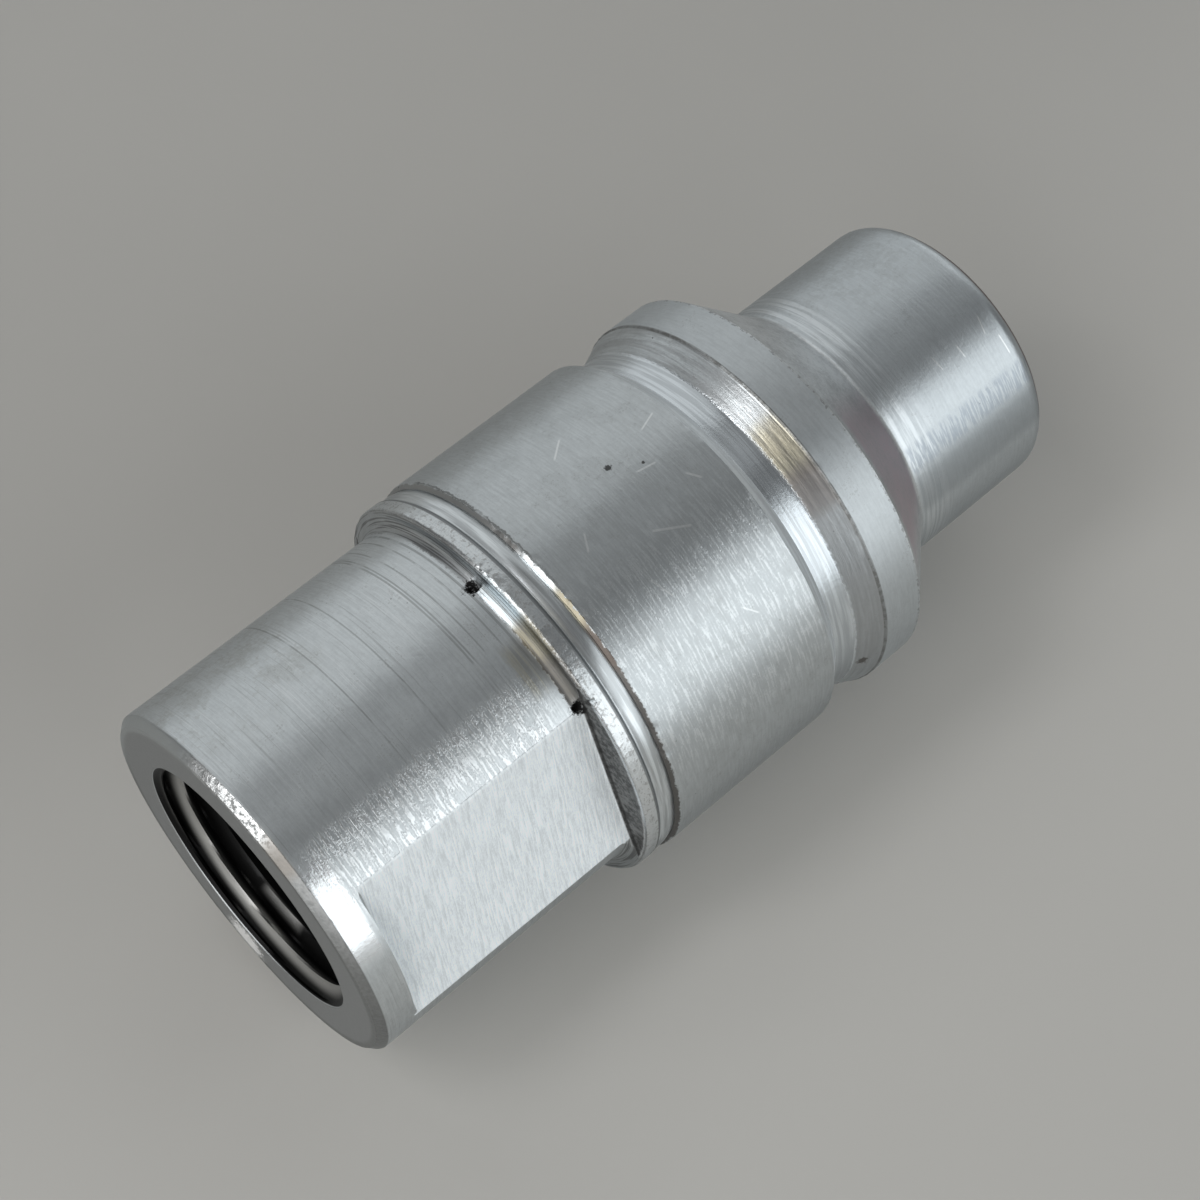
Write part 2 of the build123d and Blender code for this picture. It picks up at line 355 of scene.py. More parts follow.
def milled_flats(paint):
    """Pale and matt flats with short cutter marks across them, and end walls darkened by painted shade,
    nearly black where they meet the flats. Gives both masks.
    """
    z, radius = paint.z, paint.radius
    away = paint.x.math("ABSOLUTE")
    ends = paint.between(z, flat_rear - 0.05, flat_front + 0.03, 0.01)
    flat = ends * paint.between(away, flat_distance - 0.06, flat_distance + 0.06, 0.04)
    flat = flat * (1 - paint.ramp(radius, barrel_radius + 0.05, barrel_radius + 0.15))
    across = paint.vector(paint.y * 0.4, 0.0, z * 4.5 + paint.y * 0.5)
    lines = paint.noise(across, detail=4, roughness=0.75) * 0.8 + paint.grain * 0.2
    flat_color = paint.shade(paint.ramp(lines, 0.36, 0.64), (0.9, 0.955, 0.99), 0.16)
    paint.zone(flat, flat_color, 0.4 + lines * 0.2, 0.1)
    paint.height = paint.height + flat * (lines * 3 - paint.height)
    # Painted shade: the end wall is painted dark, and its corner by the flat nearly black.
    wall = paint.between(z, flat_front - 0.42, flat_front + 0.14, 0.02)
    wall = wall * paint.ramp(away, flat_distance + 0.02, flat_distance + 0.1)
    wall = wall * (1 - paint.ramp(radius, collar_radius - 0.4, collar_radius - 0.25))
    streaked = paint.ramp(paint.speck * 0.6 + paint.dashes * 0.4, 0.4, 0.62)
    paint.zone(wall, paint.shade(streaked, (0.115, 0.118, 0.118), 0.6), 0.5, 0.4)
    paint.height = paint.height + wall * paint.speck * 2
    corner = wall * paint.ramp(z, flat_front - 0.25, flat_front - 0.1)
    corner = corner * (1 - paint.ramp(away, flat_distance + 0.2, flat_distance + 0.4))
    paint.zone(corner * 0.8, (0.02, 0.02, 0.02), 0.7, 0.3)
    return flat, wall


def rim_and_bevel(paint):
    """A dull rim with one painted highlight, and a worn bevel round it with painted highlights and a
    painted brown reflection.
    """
    z, radius = paint.z, paint.radius
    rim = (1 - paint.ramp(z, 0.02, 0.06)) * paint.ramp(radius, port_radius, port_radius + countersink)
    paint.zone(rim, paint.shade(paint.speck, (0.41, 0.422, 0.43), 0.14), 0.36)
    # Painted highlight: a white, barely metallic spot on the rim.
    rim_highlight = paint.spot(122, 0, 13.2, 2.2) * rim
    paint.zone(rim_highlight * 0.8, (0.95, 0.95, 0.95), 0.3, 0.1)
    bevel = paint.between(z, 0.03, 0.6, 0.1) * paint.ramp(radius, rim_radius - 0.75, rim_radius - 0.25)
    paint.zone(bevel * 0.9, paint.shade(paint.speck, (0.25, 0.255, 0.255), 0.35), 0.42)
    # Painted light on the bevel: lighter on one side, bright chips only where the highlight falls, and a
    # painted brown reflection.
    paint.zone(bevel * paint.toward(-120, 55), (0.56, 0.59, 0.6), 0.4)
    bevel_chip_highlight = bevel * paint.toward(-66, 21) * paint.ramp(paint.speck, 0.38, 0.52)
    paint.zone(bevel_chip_highlight, (0.86, 0.88, 0.89), 0.26)
    paint.zone(bevel * paint.toward(-46, 8) * 0.6, (0.27, 0.24, 0.21), 0.4)
    paint.height = paint.height + bevel * paint.speck * 1.3


def port_oil_and_shade(paint):
    """The thread, with roots painted dark and the inside black further in, partly oil and partly painted
    shade, left lighter where a glint shows on the second turn.
    """
    z, radius = paint.z, paint.radius
    # Partly oil, partly painted shade: thread roots near black and crests lighter.
    inside = (1 - paint.ramp(radius, port_radius + 0.02, port_radius + 0.08)) * paint.ramp(z, 0.02, 0.1)
    crest = 1 - paint.ramp(radius, port_radius - 0.9, port_radius - 0.2)
    paint.zone(inside, paint.mix(crest, (0.012, 0.012, 0.012), (0.42, 0.42, 0.41)), 0.4, 0.9)
    # Painted shade further in: black, except where a glint on the second turn shows.
    glint = paint.toward(118, 15) * (1 - paint.ramp(z, 3.1, 3.5))
    deep = inside * paint.ramp(z, 1.7, 2.3) * (1 - glint * 0.85)
    paint.zone(deep, (0.006, 0.006, 0.006), 0.4, 0.2)


def collar_root(paint, flat, wall):
    """A painted reflection between the two pits: bright, then gold, then brown, over dull grey with dark
    lines.
    """
    z, radius = paint.z, paint.radius
    root = paint.between(paint.ragged, collar_root_rear, collar_rear + 0.15, 0.15)
    root = root * (1 - flat) * (1 - wall)
    lines = paint.noise(paint.vector(paint.around * 0.15, 0.0, (z + radius) * 6), detail=2)
    paint.zone(root * 0.4, dull_grey, 0.34)
    # Painted reflection: bright, gold and brown bands at set angles round the root.
    paint.zone(root * paint.toward(-63, 9) * 0.8, (0.66, 0.74, 0.78), 0.28)
    paint.zone(root * paint.toward(-49, 9) * 0.9, (0.23, 0.21, 0.155), 0.36)
    paint.zone(root * paint.toward(-37, 10) * 0.9, (0.14, 0.13, 0.115), 0.44)
    paint.zone(root * (1 - paint.ramp(lines, 0.42, 0.5)) * 0.65, (0.12, 0.12, 0.12), 0.4)


def collar_and_bead(paint):
    """A rough collar with a painted highlight on one side, a fine line at the seam, and a smooth bead.
    """
    z, radius = paint.z, paint.radius
    collar = paint.between(paint.ragged, collar_rear + 0.2, collar_front - 0.4, 0.2)
    collar = collar * paint.ramp(radius, collar_radius - 0.55, collar_radius - 0.25)
    paint.zone(collar, None, 0.28)
    # Painted highlight: the collar lighter on one side.
    paint.zone(collar * paint.toward(0, 40) * 0.5, (0.9, 0.93, 0.95))
    paint.zone(collar * paint.ramp(paint.grain, 0.42, 0.62) * 0.4, (0.84, 0.86, 0.87))
    paint.zone(collar * paint.ramp(paint.speck, 0.52, 0.64) * 0.5, (0.28, 0.27, 0.26), 0.46)
    paint.height = paint.height + collar * paint.speck * 0.8
    seam = paint.between(z, collar_front - 0.35, collar_front - 0.05, 0.1)
    seam = seam * paint.ramp(radius, collar_radius - 0.75, collar_radius - 0.55)
    paint.zone(seam * 0.8, (0.17, 0.175, 0.18), 0.5)
    bead = paint.between(z, collar_front + 0.1, joint, 0.1)
    bead = bead * paint.ramp(radius, bead_radius - 0.85, bead_radius - 0.65)
    bead_color = paint.shade(paint.ramp(paint.broad_rings, 0.4, 0.6), (0.68, 0.715, 0.735), 0.2)
    paint.zone(bead, bead_color, 0.29)
    paint.height = paint.height * (1 - bead * 0.7)


def burred_pits(paint):
    """Black insides for the two pits."""
    for degrees, height, reach, depth in collar_pits:
        pit = paint.spot(degrees, height, barrel_radius - depth * 0.3, reach * 1.6)
        paint.zone(pit, (0.004, 0.004, 0.004), 0.9, 0.0)


def adapter_plating():
    paint = Plating("adapter_plating")
    paint.handled()
    barrel_marks(paint)
    flat, wall = milled_flats(paint)
    rim_and_bevel(paint)
    port_oil_and_shade(paint)
    collar_root(paint, flat, wall)
    collar_and_bead(paint)
    burred_pits(paint)
    return paint.done()


def scratched_body(paint, outside):
    """Clear turning lines, and single scratches and dents."""
    body = paint.between(paint.z, joint, chamfer_rear, 0.1) * outside
    dull = paint.ramp(paint.cloud * 0.6 + paint.speck * 0.4, 0.44, 0.58)
    paint.zone(body * (0.2 + dull * 0.32), (0.45, 0.475, 0.485))
    paint.height = paint.height + body * paint.broad_rings * 0.8
    scratches = ((-50, 36.6, 2.6, 0.12, 62), (-66, 38.4, 1.3, 0.1, 80), (-40, 33.2, 1.6, 0.09, 20),
                 (-86, 35.0, 1.8, 0.1, -50), (-22, 38.0, 1.2, 0.08, 40), (-60, 31.0, 1.2, 0.1, -30),
                 (-57, 40.6, 0.9, 0.12, 35), (-76, 41.2, 1.4, 0.09, -70))
    for scratch in scratches:
        paint.zone(paint.mark(*scratch) * 0.6, (0.88, 0.9, 0.91), 0.3)
    dashes = body * paint.toward(-24, 34) * paint.ramp(paint.dashes * 0.7 + paint.grain * 0.3, 0.5, 0.6)
    paint.zone(dashes * 0.42, burnished, 0.28)
    paint.height = paint.height + dashes * 0.3
    for degrees, height, reach in ((-72, 36.3, 0.34), (-67.5, 38.5, 0.14)):
        paint.zone(paint.spot(degrees, height, body_radius, reach) * 0.9, pitted, 0.8)


def torn_rear_edge(paint, outside):
    """The body's edge at the joint, with a painted reflection: bright, then gold and brown, and dull
    grey further round.
    """
    edge = (1 - paint.ramp(paint.ragged, joint + 0.2, joint + 0.3)) * outside
    # Painted reflection: the edge's grey changes with the angle round, with bright, gold and brown
    # bands.
    paint.zone(edge, paint.mix(paint.toward(-115, 50), (0.17, 0.165, 0.16), (0.4, 0.41, 0.41)), 0.42)
    paint.zone(edge * paint.toward(-62, 9), (0.88, 0.92, 0.94), 0.28)
    paint.zone(edge * paint.toward(-49, 9) * 0.9, (0.45, 0.41, 0.31), 0.32)
    paint.zone(edge * paint.toward(-38, 9) * 0.9, (0.17, 0.145, 0.13), 0.42)
    tear = paint.between(paint.ragged, joint + 0.3, joint + 0.42, 0.06)
    tear = tear * paint.ramp(paint.cloud, 0.42, 0.56) * outside
    paint.zone(tear * paint.toward(-105, 70) * 0.7, (0.13, 0.13, 0.125), 0.6)


def detent_groove(paint, outside, streaks):
    """A dull chamfer, a bright floor, and a slope with a painted gold and brown reflection, dulled by
    painted shade on one side.
    """
    chamfer = paint.between(paint.z, chamfer_rear + 0.05, groove_rear, 0.05) * outside
    chamfer_color = paint.shade(streaks * 0.5 + paint.speck * 0.5, (0.66, 0.69, 0.705), 0.25)
    paint.zone(chamfer * 0.9, chamfer_color, 0.45, 0.35)
    floor = paint.between(paint.z, groove_rear, groove_front + 0.2, 0.05) * outside
    paint.zone(floor, paint.shade(streaks, (0.7, 0.745, 0.78), 0.14), 0.27)
    slope = paint.between(paint.ragged, groove_front + 0.3, flange_rear - 0.1, 0.2) * outside
    paint.zone(slope * (1 - streaks) * 0.4, (0.4, 0.41, 0.42), 0.36)
    # Painted reflection in gold and brown on the slope, then painted shade where a highlight would show.
    paint.zone(slope * paint.toward(-49, 11) * 0.7, paint.shade(streaks, (0.56, 0.52, 0.4), 0.35), 0.3)
    paint.zone(slope * paint.toward(-36, 9) * 0.75, paint.shade(streaks, (0.31, 0.275, 0.26), 0.2), 0.38)
    paint.zone(slope * paint.toward(0, 44) * 0.55, dull_grey, 0.4)
    paint.height = paint.height + slope * paint.broad_rings * 1.4
    paint.zone(paint.spot(27, 47.1, groove_radius + 0.4, 0.6) * 0.8, (0.09, 0.075, 0.06), 0.7)


def flange_and_cone(paint, outside):
    """Both matt, with dark worn edges and a rosy haze on the cone."""
    z = paint.z
    flange = paint.between(z, flange_rear, flange_front, 0.1) * outside
    paint.zone(flange, paint.mix(0.5, paint.color, (0.5, 0.53, 0.548)), 0.4 + paint.cloud * 0.1)
    lip = paint.between(z, flange_rear - 0.12, flange_rear + 0.06, 0.08)
    lip = lip * outside * (0.5 + paint.ramp(paint.speck * 0.5 + paint.cloud * 0.5, 0.44, 0.56) * 0.4)
    paint.zone(lip, (0.2, 0.2, 0.195), 0.55)
    cone = paint.between(z, flange_front + 0.05, nose_root, 0.2) * outside
    mottled = paint.ramp(paint.cloud * 0.5 + paint.speck * 0.3 + paint.grain * 0.2, 0.35, 0.65)
    paint.zone(cone * 0.8, paint.shade(mottled, (0.64, 0.655, 0.665), 0.22), 0.46)
    haze = paint.between(paint.ragged, flange_front + 0.8, nose_root - 0.6, 0.8)
    haze = cone * paint.toward(-24, 30) * haze
    paint.zone(haze * (0.3 + mottled * 0.4), (0.54, 0.4, 0.45), 0.42)
    paint.height = paint.height + cone * paint.dashes * 0.8
    ridge = paint.between(paint.ragged, flange_front - 0.08, flange_front + 0.04, 0.08)
    paint.zone(ridge * paint.ramp(paint.speck, 0.48, 0.6) * outside * 0.6, (0.2, 0.2, 0.2), 0.5)


def satin_nose(paint, outside, streaks):
    """Satin, with bright turning lines near its root, painted shade that narrows its highlight, and a
    dark line round its end.
    """
    z = paint.z
    nose = paint.ramp(z, nose_root + 0.2, nose_root + 0.5) * outside
    paint.zone(nose, paint.mix(0.5, paint.color, (0.5, 0.54, 0.57)), 0.31 + paint.cloud * 0.08)
    smear = nose * paint.toward(-105, 45)
    smear = smear * paint.ramp(paint.cloud * 0.5 + paint.speck * 0.5, 0.44, 0.56)
    paint.zone(smear * 0.35, (0.38, 0.4, 0.405), 0.42)
    root = nose * (1 - paint.ramp(z, nose_root + 1.4, nose_root + 4.4))
    paint.zone(root * streaks * 0.5, (0.88, 0.92, 0.95), 0.24)
    paint.height = paint.height + (nose * 0.5 + root * 2) * paint.broad_rings
    for degrees, height, length, slant in ((-40, 64.3, 1.0, 8), (-41, 69.4, 1.2, -14),
                                           (-38, 66.6, 0.8, 5), (-30, 70.2, 1.4, 2)):
        paint.zone(paint.mark(degrees, height, length, 0.08, slant) * 0.7, (0.92, 0.94, 0.95), 0.3)
    # Painted shade: dark bluish streaks in the nose's highlight, and a darker band beside it.
    highlight_shade_streaks = nose * paint.toward(-16, 7) * paint.ramp(paint.dashes, 0.4, 0.56)
    paint.zone(highlight_shade_streaks * 0.5, (0.24, 0.28, 0.34), 0.34)
    paint.zone(nose * paint.toward(-1, 12) * 0.5, (0.32, 0.35, 0.375), 0.36)
    paint.zone(paint.ramp(z, nose_end - 0.8, nose_end - 0.4) * outside, (0.13, 0.09, 0.085), 0.5, 0.6)


def end_face_and_bore(paint):
    """Circular turning lines on the nose's end face, and a duller bore."""
    z, radius = paint.z, paint.radius
    face = paint.ramp(z, nose_end - 0.3, nose_end - 0.1)
    face = face * (1 - paint.ramp(radius, nose_radius - 0.95, nose_radius - 0.55))
    circles = paint.noise(paint.vector(radius * 5, 0.0, 0.0), detail=2)
    face_color = paint.shade(paint.ramp(circles, 0.35, 0.65), (0.58, 0.61, 0.63), 0.2)
    paint.zone(face * 0.8, face_color, 0.34)
    paint.height = paint.height + face * circles * 1.5
    bore = 1 - paint.ramp(radius, bores_within, bores_within + 0.3)
    bore = bore * (1 - paint.ramp(z, nose_end - 2, nose_end - 0.6))
    paint.zone(bore, (0.3, 0.3, 0.3), 0.35)


def body_plating():
    paint = Plating("body_plating")
    outside = paint.ramp(paint.radius, nose_radius - 0.85, nose_radius - 0.65)
    streaks = paint.ramp(paint.rings(3.2), 0.42, 0.6)
    paint.handled()
    scratched_body(paint, outside)
    torn_rear_edge(paint, outside)
    detent_groove(paint, outside, streaks)
    flange_and_cone(paint, outside)
    satin_nose(paint, outside, streaks)
    end_face_and_bore(paint)
    return paint.done()


def bright_metal(name, color, roughness):
    """Turned or drawn steel that shows only through the openings."""
    paint = Plating(name)
    circles = paint.noise(paint.vector(paint.radius * 5, 0.0, paint.z * 5), detail=2)
    paint.color = paint.shade(paint.ramp(circles, 0.35, 0.65), color, 0.15)
    paint.roughness = roughness + circles * 0.12
    paint.height = circles
    return paint.done(0.00001)


def soft_seal(name, color, roughness):
    """Moulded rubber or skived plastic, dull and slightly mottled."""
    paint = Plating(name)
    paint.color = paint.shade(paint.speck, color, 0.2)
    paint.roughness = roughness + paint.cloud * 0.1
    paint.metallic = 0.0
    return paint.done(0.00001)


# Meshes

# The most that one step of a rounding turns
arc_step = math.radians(12)

# A pit has this many mesh columns on either side of its middle, over this many times its reach
pit_columns = 7
pit_margin = 1.3


def straight_run(start, stop, spacing):
    """Points inside a straight run, as far apart as spacing says where each one stands."""
    length = (stop - start).length
    places = [0.0]
    while places[-1] < length:
        places.append(places[-1] + spacing(start.lerp(stop, places[-1] / length)))
    return [start.lerp(stop, place / places[-1]) for place in places[1:-1]]


def rounded_outline(corners, spacing):
    """Closed outline through (radius, height, rounding) corners, as fine as spacing says."""
    points = []
    count = len(corners)
    arcs = []
    for i, (r, h, rounding) in enumerate(corners):
        here = Vector((r, h))
        before = (Vector(corners[i - 1][:2]) - here).normalized()
        after = (Vector(corners[(i + 1) % count][:2]) - here).normalized()
        if rounding == 0:
            arcs.append([here])
            continue
        half = before.angle(after) / 2
        centre = here + (before + after).normalized() * (rounding / math.sin(half))
        first = here + before * (rounding / math.tan(half)) - centre
        last = here + after * (rounding / math.tan(half)) - centre
        swing = first.angle_signed(last)
        steps = max(2, math.ceil(abs(swing) / arc_step))
        arc = []
        for step in range(steps + 1):
            turned = first.copy()
            turned.rotate(Matrix.Rotation(-swing * step / steps, 2))
            arc.append(centre + turned)
        arcs.append(arc)
    for i, arc in enumerate(arcs):
        points.extend(arc)
        points.extend(straight_run(arc[-1], arcs[(i + 1) % count][0], spacing))
    return points


def column_angles(step, edge_angle=None, pits=()):
    """Angles round the axis: evenly spaced, on the flats' edges, and closer together at pits."""
    stops = [0.0, TURN]
    if edge_angle:
        flat_edges = (edge_angle, math.pi - edge_angle, math.pi + edge_angle, TURN - edge_angle)
        stops = [*flat_edges, TURN + edge_angle]
    angles = []
    for start, stop in zip(stops, stops[1:]):
        count = math.ceil((stop - start) / step)
        angles += [(start + (stop - start) * k / count) % TURN for k in range(count)]
    for degrees, _height, reach, _depth in pits:
        middle = math.radians(degrees) % TURN
        half = reach * pit_margin / barrel_radius
        angles = [angle for angle in angles if abs(angle - middle) > half * 1.1]
        angles += [middle + half * k / pit_columns for k in range(-pit_columns, pit_columns + 1)]
    return sorted(angles)


def new_piece(name, points, faces, sharp_degrees):
    """A smooth piece whose edges look sharp where they turn by more than sharp_degrees."""
    mesh = bpy.data.meshes.new(name)
    mesh.from_pydata(points, [], faces)
    mesh.polygons.foreach_set("use_smooth", [True] * len(faces))
    mesh.set_sharp_from_angle(angle=math.radians(sharp_degrees))
    piece = bpy.data.objects.new(name, mesh)
    bpy.context.scene.collection.objects.link(piece)
    return piece


def turned_piece(name, outline, angles, shape):
    """Mesh of an outline turned round Z. shape gives a point from its radius, height and angle."""
    rings = len(outline)
    columns = len(angles)
    points = [[c * MM for c in shape(r, h, angle)] for r, h in outline for angle in angles]
    faces = []
    for i in range(rings):
        low, high = i * columns, (i + 1) % rings * columns
        for k in range(columns):
            beside = (k + 1) % columns
            faces.append((low + k, low + beside, high + beside, high + k))
    return new_piece(name, points, faces, 26)


def drop_empty_faces(mesh):
    """Takes out the faces that a flat has pressed into a line."""
    work = bmesh.new()
    work.from_mesh(mesh)
    bmesh.ops.dissolve_degenerate(work, dist=1e-6, edges=work.edges)
    work.to_mesh(mesh)
    work.free()


def worn(r, h, angle, edges):
    """Radius that wear and knocks leave near the edges, each a height, a reach and a depth."""
    for height, reach, depth in edges:
        near = 1 - abs(h - height) / reach
        if near > 0:
            point = Vector((r * math.cos(angle), r * math.sin(angle), height))
            chips = noise.noise(point * 0.8) * 0.6 + noise.noise(point * 2.4) * 0.5
            r -= depth * near * max(0, chips)
    return r


def finer_near(point, heights, fine, coarse):
    """Spacing that grows with the distance from the nearest of some heights."""
    nearest = min(abs(point.y - height) for height in heights)
    return min(coarse, fine + 0.25 * nearest)


def flat_limit(height):
    """How far out the two milled flats leave metal at a height."""
    inside = min(height - flat_rear, flat_front - height)
    if inside < 0:
        return math.inf
    rise = cutter_corner - math.sqrt(max(0, cutter_corner**2 - max(0, cutter_corner - inside) ** 2))
    return flat_distance + rise


def thread_radius(height, angle):
    """Radius of the port's wall: a female pipe thread, with its mouth countersunk."""
    turn = (height / thread_pitch - angle / TURN + thread_phase) % 1
    crest = 1 - abs(2 * turn - 1)
    ridge = min(1, max(0, (crest - thread_root) / thread_flanks)) * thread_height
    fade = min(1, max(0, (thread_end - height) / thread_fade))
    return max(port_radius - ridge * fade, port_radius + countersink - height)


# Worn edges of the adapter: rim, collar, seam, bead and joint
adapter_edges = ((0.3, 0.45, 0.14), (collar_rear + 0.35, 0.5, 0.16), (collar_front - 0.25, 0.35, 0.07),
                 (joint, 0.3, 0.06))

# Worn edges of the tip body: joint, chamfer, flange and nose
body_edges = ((joint + 0.2, 0.5, 0.3), (chamfer_rear, 0.4, 0.12), (flange_rear, 0.35, 0.12),
              (flange_front, 0.4, 0.07), (nose_end - 0.8, 0.9, 0.05))


def pit_cut(h, angle):
    """How far the two burred pits cut into the adapter's outside."""
    cut = 0
    for degrees, height, reach, depth in collar_pits:
        if abs(h - height) > 2 * reach:
            continue
        around = (angle - math.radians(degrees) + math.pi) % TURN - math.pi
        away = math.hypot(around * barrel_radius, h - height) / reach
        away *= 1 + 0.5 * noise.noise(Vector((around * 30, h * 2, degrees)))
        if away < 1:
            cut += depth * (1 - away**2)
    return cut


def adapter_shape(r, h, angle):
    """A point of the adapter: threaded port, worn and pitted outside, and the two flats."""
    if r <= port_radius + countersink and 0 < h < port_depth - 0.01:
        r = thread_radius(h, angle)
    elif r > spigot_radius + 1:
        r = worn(r, h, angle, adapter_edges) - pit_cut(h, angle)
    x, y = r * math.cos(angle), r * math.sin(angle)
    limit = flat_limit(h)
    if abs(x) > limit:
        x = math.copysign(limit, x)
    return x, y, h


def body_shape(r, h, angle):
    """A point of the tip body, with its outside worn."""
    if r > bores_within:
        r = worn(r, h, angle, body_edges)
    return r * math.cos(angle), r * math.sin(angle), h


# Heights near which the outside's mesh is finer
adapter_heights = (0, flat_rear, finest_at_pits, flat_front, collar_front, joint)
body_heights = (joint, chamfer_rear, groove_rear, groove_front,
                flange_rear, flange_front, nose_root, nose_end)


def adapter_spacing(point):
    """Millimetres between the outline's points: even on the thread, wide where nothing is seen."""
    if point.x < port_radius + countersink and point.y < port_depth:
        return 0.17 if point.y < 9 else 0.25
    if point.x < port_radius or point.y > joint or point.y < 0.01:
        return 1.5
    return finer_near(point, adapter_heights, 0.12, 0.9)


def body_spacing(point):
    """Millimetres between the outline's points, wide inside the bores."""
    if point.x > 14 or point.y > flange_front and point.x > 11:
        return finer_near(point, body_heights, 0.13, 0.8)
    return 1.3


def rear_adapter():
    """The turned rear piece, from its port to the end of its spigot."""
    flat_step = 0.01
    rim_bevel = 0.6
    seam_rear = collar_front - 0.25
    seam_middle = collar_front - 0.12
    seam_depth = 0.14
    bead_drop = 0.15
    bead_run = 0.5
    bead_rounding = 1.2
    corners = [
        (port_radius + countersink, 0, 0),
        (rim_radius, 0, 0),
        (barrel_radius, rim_bevel, 0.4),
        (barrel_radius, flat_rear - flat_step, 0),
        (barrel_radius, flat_rear + flat_step, 0),
        (barrel_radius, collar_rear, 1.0),
        (collar_radius, collar_rear, 0.4),
        (collar_radius, seam_rear, 0),
        (collar_radius - seam_depth, seam_middle, 0),
        (bead_radius - bead_drop, collar_front, 0),
        (bead_radius, collar_front + bead_run, bead_rounding),
        (bead_radius, joint - bead_run, bead_rounding),
        (bead_radius - bead_drop, joint, 0),
        (spigot_radius, joint, 0),
        (spigot_radius, spigot_end, 0),
        (passage_radius, spigot_end, 0),
        (passage_radius, port_depth + port_radius - passage_radius, 0),
        (port_radius, port_depth, 0),
    ]
    outline = rounded_outline(corners, adapter_spacing)
    angles = column_angles(math.radians(1.0), math.acos(flat_distance / barrel_radius), collar_pits)
    piece = turned_piece("adapter", outline, angles, adapter_shape)
    drop_empty_faces(piece.data)
    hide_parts("rear_adapter")
    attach(piece, "coupler_body")
    piece.data.materials.append(adapter_plating())


def tip_body():
    """The turned front piece, from the joint to the nose and back through its bores."""
    edge_break = 0.1
    rear_break_in = 0.28
    rear_break_up = 0.26
    corners = [
        (seal_bore + seal_lead_in, joint, 0),
        (body_radius - rear_break_in, joint, 0),
        (body_radius, joint + rear_break_up, 0),
        (body_radius, chamfer_rear, 0),
        (groove_radius, groove_rear, 0),
        (groove_radius, groove_front, 0.5),
        (body_radius - edge_break, flange_rear - edge_break, 0),
        (body_radius, flange_rear, 0),
        (body_radius, flange_front, 0),
        (nose_radius, nose_root, 0.8),
        (nose_radius, nose_end, nose_rounding),
        (mouth_radius + mouth_chamfer, nose_end, 0),
        (mouth_radius, nose_end - mouth_chamfer, 0),
        (mouth_radius, seat_front, 0),
        (valve_bore, seat_rear, 0),
        (valve_bore, guide_shoulder, 0),
        (guide_bore, guide_shoulder, 0),
        (guide_bore, seal_bore_end, 0),
        (seal_bore, seal_bore_end, 0),
        (seal_bore, joint + seal_lead_in, 0),
    ]
    outline = rounded_outline(corners, body_spacing)
    piece = turned_piece("body", outline, column_angles(math.radians(0.85)), body_shape)
    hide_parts("tip_body")
    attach(piece, "coupler_body")
    piece.data.materials.append(body_plating())


def valve_spring(finish):
    """Coil with both ends ground flat."""
    low, high = (corner[2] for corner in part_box("valve_spring"))
    rise = high - low
    points, faces = [], []
    for i in range(spring_steps + 1):
        angle = TURN * spring_turns * i / spring_steps
        for k in range(wire_sides):
            around = TURN * k / wire_sides
            r = (coil_radius + wire_radius * math.cos(around)) * MM
            h = low + rise * i / spring_steps + wire_radius * math.sin(around) * MM
            points.append((r * math.cos(angle), r * math.sin(angle), min(high, max(low, h))))
    for i in range(spring_steps):
        for k in range(wire_sides):
            here, beside = i * wire_sides + k, i * wire_sides + (k + 1) % wire_sides
            faces.append((here, here + wire_sides, beside + wire_sides, beside))
    faces.append(tuple(range(wire_sides)))
    faces.append(tuple(reversed(range(spring_steps * wire_sides, (spring_steps + 1) * wire_sides))))
    piece = new_piece("spring_coil", points, faces, 40)
    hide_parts("valve_spring")
    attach(piece, "coupler_body")
    piece.data.materials.append(finish)
    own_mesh(piece)


# Camera, lights and table

# The table's normal leans this far round the axis from the flat's normal
table_angle = math.radians(-68.5)
table_normal = Vector((math.cos(table_angle), math.sin(table_angle), 0))
camera_place = Vector((132.35, -132.35, -33.46))
camera_aim = Vector((5.76, -6.65, 31.92))

# Millimetres: the gap under the part, and the height that the lamps point at
table_gap = 0.02
lit_height = 36

# Metres: half the table's width, and how far away the lamps are
table_half = 1.5
lamp_distance = 0.6

room_grey = 0.11
daylight = (0.97, 1.0, 1.0)


def turned_to(back, side):
    """Rotation that looks against back, with side across the picture's top."""
    back = back.normalized()
    right = side.cross(back).normalized()
    return Matrix((right, back.cross(right), back)).transposed().to_4x4()


def add_camera():
    data = bpy.data.cameras.new("camera")
    data.sensor_width = 36
    data.lens = 77.8
    data.clip_start = 0.01
    camera = bpy.data.objects.new("camera", data)
    turned = turned_to(camera_place - camera_aim, table_normal)
    camera.matrix_world = Matrix.Translation(camera_place * MM) @ turned
    bpy.context.scene.collection.objects.link(camera)
    bpy.context.scene.camera = camera


def add_light(name, degrees, lift, width, length, glow, color):
    """A soft light at an angle round the axis, lifted towards the nose, sized in metres.

    glow is how bright its face looks, where 1 is white.
    """
    a, b = math.radians(degrees), math.radians(lift)
    way = Vector((math.cos(a) * math.cos(b), math.sin(a) * math.cos(b), math.sin(b)))
    data = bpy.data.lights.new(name, "AREA")
    data.shape = "RECTANGLE"
    data.size, data.size_y = width, length
    data.energy = glow * math.pi * width * length
    data.color = color
    light = bpy.data.objects.new(name, data)
    place = Vector((0, 0, lit_height * MM)) + way * lamp_distance
    light.matrix_world = Matrix.Translation(place) @ turned_to(way, Vector((0, 0, 1)))
    bpy.context.scene.collection.objects.link(light)


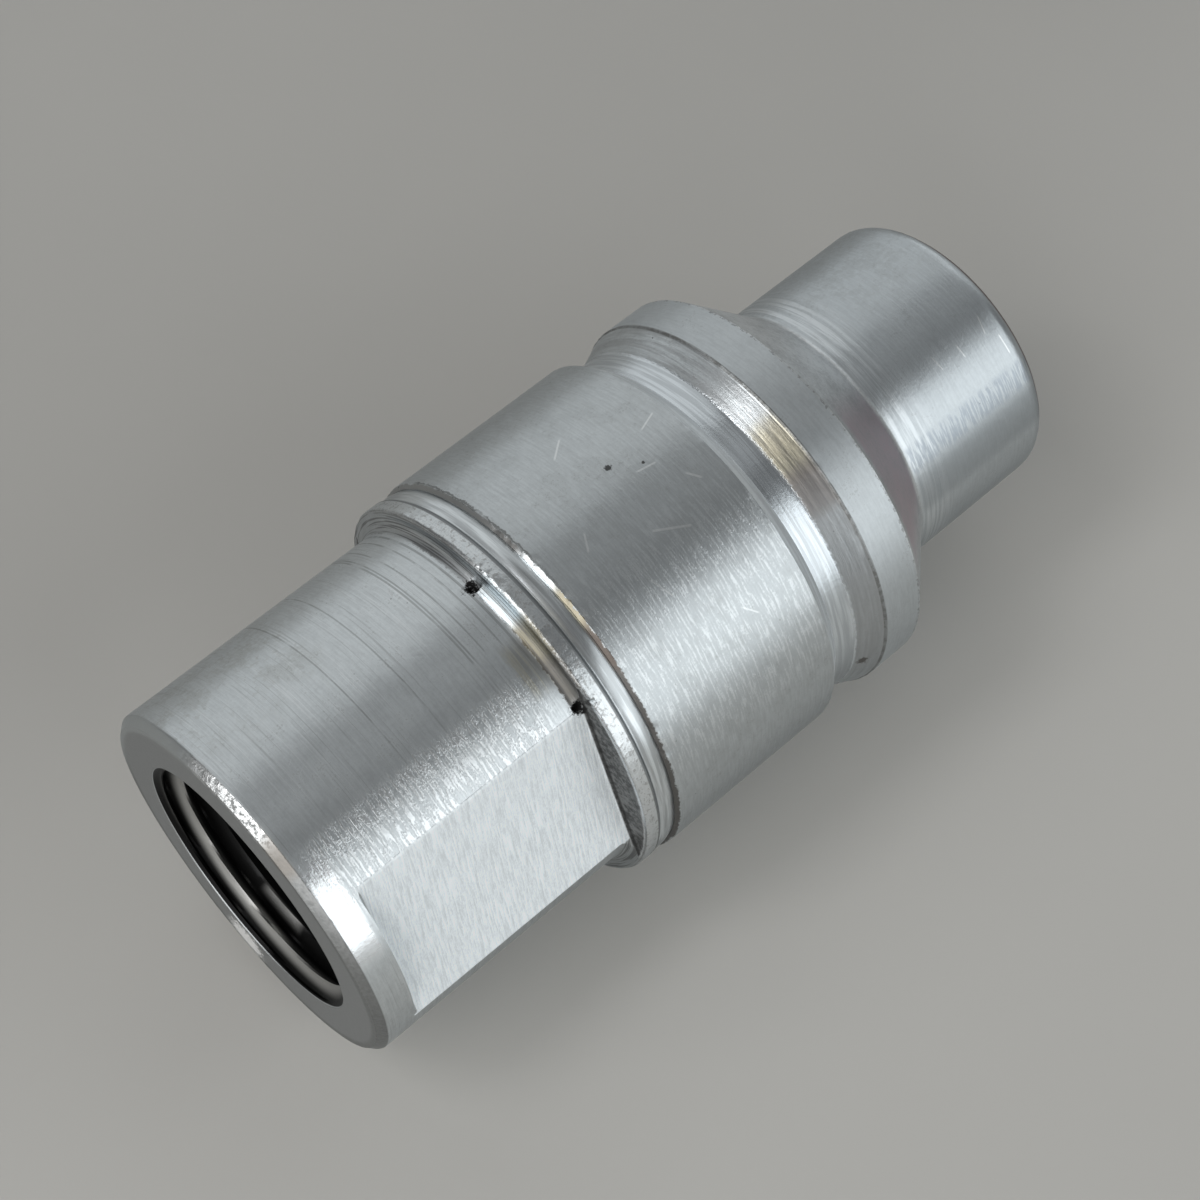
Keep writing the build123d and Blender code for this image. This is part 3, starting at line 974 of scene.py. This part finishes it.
def add_stage():
    """A plain table under the part, darker on one side by a painted shadow. Its back face is
    see-through, for views from below and behind.
    """
    across = Vector((0, 0, 1)).cross(table_normal)
    centre = table_normal * (-(body_radius + table_gap) * MM)
    signs = ((-1, -1), (1, -1), (1, 1), (-1, 1))
    corners = [centre + across * a * table_half + Vector((0, 0, b * table_half)) for a, b in signs]
    mesh = bpy.data.meshes.new("table")
    mesh.from_pydata(corners, [], [(0, 1, 2, 3)])
    if mesh.polygons[0].normal.dot(table_normal) < 0:
        mesh.flip_normals()
    table = bpy.data.objects.new("table", mesh)
    bpy.context.scene.collection.objects.link(table)
    paint = Paint("table")
    x, y, z = paint.place()
    cloud = paint.noise(paint.vector(x, y, z), scale=0.02, detail=3)
    # Painted shadow: the table darker on one side of the part.
    painted_shadow_ramp = paint.ramp(x * across.x + y * across.y, -45, 25)
    color = paint.shade(cloud * 0.35 + painted_shadow_ramp * 0.65, (0.478, 0.469, 0.448), 0.14)
    surface = paint.node("ShaderNodeBsdfPrincipled", None, {"Base Color": color, "Roughness": 0.7})
    clear = paint.node("ShaderNodeBsdfTransparent")
    back = paint.node("ShaderNodeNewGeometry", output="Backfacing")
    seen = paint.node("ShaderNodeLightPath", output="Is Camera Ray")
    shown = paint.node("ShaderNodeMixShader", None, [back * seen, surface, clear])
    paint.node("ShaderNodeOutputMaterial", None, [shown])
    mesh.materials.append(paint.material)


def add_world():
    """One even grey all round."""
    world = bpy.data.worlds.new("room")
    bpy.context.scene.world = world
    world.use_nodes = True
    tree = world.node_tree
    tree.nodes.clear()
    room = tree.nodes.new("ShaderNodeBackground")
    room.inputs["Color"].default_value = (room_grey, room_grey, room_grey, 1)
    out = tree.nodes.new("ShaderNodeOutputWorld")
    tree.links.new(room.outputs[0], out.inputs["Surface"])


bpy.context.scene.view_settings.view_transform = "Standard"
add_camera()
add_stage()
add_world()
add_light("window", -2.5, 20, width=0.5, length=0.8, glow=1.27, color=(0.95, 0.99, 1.0))
add_light("wall", -125, 25, width=0.82, length=0.9, glow=0.52, color=daylight)
add_light("ceiling", -67, 25, width=0.24, length=0.9, glow=0.19, color=daylight)
add_light("top", -120, 68, width=0.4, length=0.35, glow=0.49, color=daylight)
add_light("low", -45, -62, width=0.95, length=0.62, glow=1.6, color=(1.0, 1.0, 0.99))
add_light("low_side", -82, -28, width=0.16, length=0.22, glow=4.5, color=(1.0, 1.0, 1.0))
add_light("warm_side", -58, -28, width=0.2, length=0.22, glow=0.7, color=(1.0, 0.92, 0.75))

rear_adapter()
tip_body()

steel = bright_metal("valve_steel", (0.55, 0.55, 0.56), 0.25)
spring = bright_metal("spring_steel", (0.35, 0.35, 0.36), 0.35)
rubber = soft_seal("seal_rubber", (0.025, 0.025, 0.027), 0.5)
plastic = soft_seal("backup_plastic", (0.75, 0.74, 0.7), 0.45)
valve_spring(spring)
finishes = {
    "poppet": steel,
    "valve_guide": steel,
    "retaining_ring": spring,
    "poppet_seal": rubber,
    "joint_seal": rubber,
    "backup_ring": plastic,
}
for node, material in finishes.items():
    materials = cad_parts[node].data.materials
    materials.clear()
    materials.append(material)
